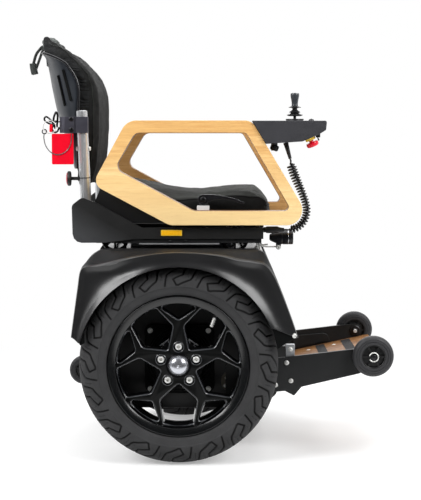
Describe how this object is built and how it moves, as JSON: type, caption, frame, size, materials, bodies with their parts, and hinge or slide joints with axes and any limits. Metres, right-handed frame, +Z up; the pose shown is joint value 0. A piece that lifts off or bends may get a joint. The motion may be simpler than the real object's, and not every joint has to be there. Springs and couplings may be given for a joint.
{
  "type": "self-balancing wheelchair",
  "caption": "Self-balancing wheelchair: large driven wheels under fenders, sliding padded seat, wooden armrests, joystick control and a footrest on small casters.",
  "frame": {"origin": "middle of the footprint on the floor, under the box round the whole part", "axes": "+X forward, towards the footrest; +Y to the rider's left; +Z up, the part standing level on its main wheels"},
  "size_m": [0.9055, 0.698, 1.03],
  "materials": {
    "tyre_rubber": "matte",
    "wheel_rubber": "matte",
    "black_alloy": "gloss",
    "cast_alloy": "satin",
    "chassis_alloy": "satin",
    "bare_alloy": "satin",
    "anodised_alloy": "satin",
    "black_plastic": "satin",
    "gloss_plastic": "gloss",
    "battery_casing": "matte",
    "black_sheet": "satin",
    "steel": "polished",
    "chrome": "polished",
    "oak_ply": "satin",
    "brown_ply": "satin",
    "black_board": "matte",
    "black_fabric": "matte",
    "webbing": "matte",
    "cord_jacket": "satin",
    "red_plastic": "gloss",
    "yellow_plastic": "gloss",
    "light_plastic": "satin",
    "post_tube": "polished"
  },
  "bodies": {
    "base": {"chassis_tub": "chassis_alloy", "body_cover": "black_plastic", "battery_pack": "battery_casing", "motor_R": "cast_alloy", "motor_L": "cast_alloy", "gearbox_R": "chassis_alloy", "gearbox_L": "chassis_alloy", "fender_R": "black_plastic", "fender_L": "black_plastic", "guide_rail": "steel", "foot_plate_R": "black_sheet", "foot_plate_L": "black_sheet", "footboard": "brown_ply", "rear_arm_R": "black_sheet", "rear_arm_L": "black_sheet"},
    "wheel_R": {"tyre_R": "tyre_rubber", "rim_R": "black_alloy", "hub_cap_R": "chrome"},
    "wheel_L": {"tyre_L": "tyre_rubber", "rim_L": "black_alloy", "hub_cap_L": "chrome"},
    "caster_R": {"caster_wheel_R": "wheel_rubber"},
    "caster_L": {"caster_wheel_L": "wheel_rubber"},
    "tip_wheel_R": {"rear_wheel_R": "wheel_rubber"},
    "tip_wheel_L": {"rear_wheel_L": "wheel_rubber"},
    "seat": {"side_plate_R": "black_sheet", "side_plate_L": "black_sheet", "armrest_R": "oak_ply", "armrest_L": "oak_ply", "arm_guard_R": "black_plastic", "arm_guard_L": "black_plastic", "seat_tray": "black_sheet", "cross_plate": "bare_alloy", "seat_board": "black_board", "seat_cushion": "black_fabric", "lever_base": "light_plastic", "headlamp_bracket": "steel", "control_box": "black_plastic", "stop_collar": "yellow_plastic", "cord_sleeve": "cord_jacket", "curly_cord": "cord_jacket", "cord_socket": "black_plastic"},
    "roller_rear": {"roller_rear": "black_plastic"},
    "roller_front": {"roller_front": "black_plastic"},
    "backrest": {"back_post_R": "post_tube", "back_post_L": "post_tube", "back_clamp_R": "anodised_alloy", "back_clamp_L": "anodised_alloy", "back_shell": "black_plastic", "back_cushion": "black_fabric", "pull_strap": "webbing", "rear_reflector": "red_plastic"},
    "tag": {"tag": "red_plastic"},
    "lever": {"quick_release_lever": "gloss_plastic"},
    "headlamp": {"headlamp": "black_plastic"},
    "joystick_gimbal": {"joystick_gimbal": "steel"},
    "joystick_stick": {"joystick_stick": "gloss_plastic"},
    "dome_button": {"dome_button": "gloss_plastic"},
    "stop_button": {"stop_button": "red_plastic"},
    "toggle": {"toggle": "gloss_plastic"}
  },
  "joints": [
    {"name": "wheel_R_spin", "type": "hinge", "parent": "base", "child": "wheel_R", "pos_m": [-0.067, -0.278, 0.2375], "axis": [0, 1, 0], "continuous": true},
    {"name": "wheel_L_spin", "type": "hinge", "parent": "base", "child": "wheel_L", "pos_m": [-0.067, 0.278, 0.2375], "axis": [0, 1, 0], "continuous": true},
    {"name": "caster_R_spin", "type": "hinge", "parent": "base", "child": "caster_R", "pos_m": [0.403, -0.2313, 0.2468], "axis": [0, 1, 0], "continuous": true},
    {"name": "caster_L_spin", "type": "hinge", "parent": "base", "child": "caster_L", "pos_m": [0.403, 0.2313, 0.2468], "axis": [0, 1, 0], "continuous": true},
    {"name": "tip_wheel_R_spin", "type": "hinge", "parent": "base", "child": "tip_wheel_R", "pos_m": [-0.3035, -0.1785, 0.2049], "axis": [0, 1, 0], "continuous": true},
    {"name": "tip_wheel_L_spin", "type": "hinge", "parent": "base", "child": "tip_wheel_L", "pos_m": [-0.3035, 0.1785, 0.2049], "axis": [0, 1, 0], "continuous": true},
    {"name": "seat_slide", "type": "slide", "parent": "base", "child": "seat", "axis": [1, 0, 0], "range_m": [-0.03, 0.04]},
    {"name": "roller_rear_spin", "type": "hinge", "parent": "seat", "child": "roller_rear", "pos_m": [-0.224, 0, 0.5318], "axis": [0, 1, 0], "range_deg": [-55, 70]},
    {"name": "roller_front_spin", "type": "hinge", "parent": "seat", "child": "roller_front", "pos_m": [0.068, 0, 0.5318], "axis": [0, 1, 0], "range_deg": [-55, 70]},
    {"name": "backrest_recline", "type": "hinge", "parent": "seat", "child": "backrest", "pos_m": [-0.293, 0, 0.612], "axis": [0, -1, 0], "range_deg": [-5, 15]},
    {"name": "tag_swing", "type": "hinge", "parent": "backrest", "child": "tag", "pos_m": [-0.3771, -0.2262, 0.813], "axis": [0, 1, 0], "range_deg": [-45, 45]},
    {"name": "lever_lift", "type": "hinge", "parent": "seat", "child": "lever", "pos_m": [-0.0094, -0.201, 0.625], "axis": [0, -1, 0], "range_deg": [0, 75]},
    {"name": "headlamp_tilt", "type": "hinge", "parent": "seat", "child": "headlamp", "pos_m": [0.1738, -0.185, 0.5095], "axis": [0, 1, 0], "range_deg": [-10, 10]},
    {"name": "joystick_tilt_side", "type": "hinge", "parent": "seat", "child": "joystick_gimbal", "pos_m": [0.2107, -0.219, 0.8165], "axis": [1, 0, 0], "range_deg": [-14, 14], "stiffness_Nm_per_rad": 0.4},
    {"name": "joystick_tilt_fore", "type": "hinge", "parent": "joystick_gimbal", "child": "joystick_stick", "pos_m": [0.2107, -0.219, 0.8165], "axis": [0, 1, 0], "range_deg": [-14, 14], "stiffness_Nm_per_rad": 0.4},
    {"name": "dome_button_press", "type": "slide", "parent": "seat", "child": "dome_button", "axis": [0, 0, -1], "range_m": [0, 0.002], "stiffness_N_per_m": 300},
    {"name": "stop_button_press", "type": "slide", "parent": "seat", "child": "stop_button", "axis": [-0.3936, 0, 0.9193], "range_m": [0, 0.004], "stiffness_N_per_m": 800},
    {"name": "toggle_flip", "type": "hinge", "parent": "seat", "child": "toggle", "pos_m": [0.26489, -0.219, 0.77816], "axis": [0, -1, 0], "range_deg": [0, 24]}
  ],
  "couplings": [
    {"joint": "roller_rear_spin", "follows": "seat_slide", "rad_per_m": 28.985},
    {"joint": "roller_front_spin", "follows": "seat_slide", "rad_per_m": 28.985}
  ]
}
